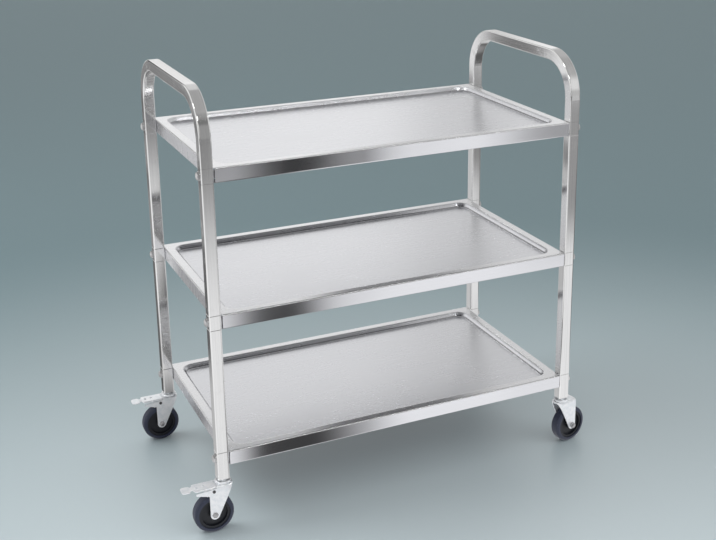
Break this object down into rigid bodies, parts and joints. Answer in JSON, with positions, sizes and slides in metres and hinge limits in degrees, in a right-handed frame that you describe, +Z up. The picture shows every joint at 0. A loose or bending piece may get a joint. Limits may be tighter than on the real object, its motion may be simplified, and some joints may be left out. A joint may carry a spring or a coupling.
{
  "type": "serving trolley",
  "caption": "Stainless steel serving trolley with shelf trays on a square tube frame, U handles at both ends and swivel castors, with toe brakes at the left end.",
  "frame": {"origin": "on the floor, midway between the four legs", "axes": "+X along the trolley's length from the braked end to the other, +Y across it towards the rear, +Z up from the floor"},
  "size_m": [0.8762, 0.427, 0.832],
  "materials": {
    "tray_sheet": "satin brushed stainless sheet",
    "frame_tube": "polished stainless square tube",
    "inner_steel": "plain mill finish steel",
    "fasteners": "turned stainless bolts, washers and nuts",
    "insert_plastic": "black nylon",
    "zinc_plate": "bright zinc-plated pressed steel",
    "bearing_steel": "polished bearing steel",
    "spring_steel": "dark oiled spring wire",
    "hub_plastic": "black moulded nylon",
    "tyre_rubber": "dark slate solid rubber"
  },
  "bodies": {
    "trolley": {"top_tray": "tray_sheet", "middle_tray": "tray_sheet", "bottom_tray": "tray_sheet", "tray_stiffeners": "tray_sheet", "top_corner_sockets": "frame_tube", "middle_corner_sockets": "frame_tube", "bottom_corner_posts": "frame_tube", "top_splices": "inner_steel", "middle_splices": "inner_steel", "bottom_splices": "inner_steel", "left_handle": "frame_tube", "right_handle": "frame_tube", "front_left_upper_leg": "frame_tube", "front_right_upper_leg": "frame_tube", "rear_left_upper_leg": "frame_tube", "rear_right_upper_leg": "frame_tube", "front_left_lower_leg": "frame_tube", "front_right_lower_leg": "frame_tube", "rear_left_lower_leg": "frame_tube", "rear_right_lower_leg": "frame_tube", "corner_bolts": "fasteners", "corner_washers": "fasteners", "corner_nuts": "fasteners", "castor_inserts": "insert_plastic", "castor_stems": "zinc_plate"},
    "front_left_castor": {"front_left_fork": "zinc_plate", "front_left_balls": "bearing_steel", "front_left_axle": "fasteners", "front_left_axle_nut": "fasteners", "front_left_pedal_pin": "fasteners", "front_left_brake_spring": "spring_steel"},
    "front_left_wheel": {"front_left_hub": "hub_plastic", "front_left_tyre": "tyre_rubber"},
    "front_left_brake": {"front_left_pedal": "zinc_plate"},
    "front_right_castor": {"front_right_fork": "zinc_plate", "front_right_balls": "bearing_steel", "front_right_axle": "fasteners", "front_right_axle_nut": "fasteners"},
    "front_right_wheel": {"front_right_hub": "hub_plastic", "front_right_tyre": "tyre_rubber"},
    "rear_left_castor": {"rear_left_fork": "zinc_plate", "rear_left_balls": "bearing_steel", "rear_left_axle": "fasteners", "rear_left_axle_nut": "fasteners", "rear_left_pedal_pin": "fasteners", "rear_left_brake_spring": "spring_steel"},
    "rear_left_wheel": {"rear_left_hub": "hub_plastic", "rear_left_tyre": "tyre_rubber"},
    "rear_left_brake": {"rear_left_pedal": "zinc_plate"},
    "rear_right_castor": {"rear_right_fork": "zinc_plate", "rear_right_balls": "bearing_steel", "rear_right_axle": "fasteners", "rear_right_axle_nut": "fasteners"},
    "rear_right_wheel": {"rear_right_hub": "hub_plastic", "rear_right_tyre": "tyre_rubber"}
  },
  "joints": [
    {"name": "front_left_swivel", "type": "hinge", "parent": "trolley", "child": "front_left_castor", "pos_m": [-0.369, -0.194, 0.105], "axis": [0, 0, 1], "continuous": true},
    {"name": "front_left_wheel_spin", "type": "hinge", "parent": "front_left_castor", "child": "front_left_wheel", "pos_m": [-0.39, -0.194, 0.038], "axis": [0, 1, 0], "continuous": true},
    {"name": "front_left_brake_tip", "type": "hinge", "parent": "front_left_castor", "child": "front_left_brake", "pos_m": [-0.39, -0.194, 0.0868], "axis": [0, -1, 0], "range_deg": [0, 5]},
    {"name": "front_right_swivel", "type": "hinge", "parent": "trolley", "child": "front_right_castor", "pos_m": [0.369, -0.194, 0.105], "axis": [0, 0, 1], "continuous": true},
    {"name": "front_right_wheel_spin", "type": "hinge", "parent": "front_right_castor", "child": "front_right_wheel", "pos_m": [0.38968, -0.19035, 0.038], "axis": [0.1736, -0.9848, 0], "continuous": true},
    {"name": "rear_left_swivel", "type": "hinge", "parent": "trolley", "child": "rear_left_castor", "pos_m": [-0.369, 0.194, 0.105], "axis": [0, 0, 1], "continuous": true},
    {"name": "rear_left_wheel_spin", "type": "hinge", "parent": "rear_left_castor", "child": "rear_left_wheel", "pos_m": [-0.39, 0.194, 0.038], "axis": [0, 1, 0], "continuous": true},
    {"name": "rear_left_brake_tip", "type": "hinge", "parent": "rear_left_castor", "child": "rear_left_brake", "pos_m": [-0.39, 0.194, 0.0868], "axis": [0, -1, 0], "range_deg": [0, 5]},
    {"name": "rear_right_swivel", "type": "hinge", "parent": "trolley", "child": "rear_right_castor", "pos_m": [0.369, 0.194, 0.105], "axis": [0, 0, 1], "continuous": true},
    {"name": "rear_right_wheel_spin", "type": "hinge", "parent": "rear_right_castor", "child": "rear_right_wheel", "pos_m": [0.3898, 0.19692, 0.038], "axis": [0.1392, -0.9903, 0], "continuous": true}
  ]
}
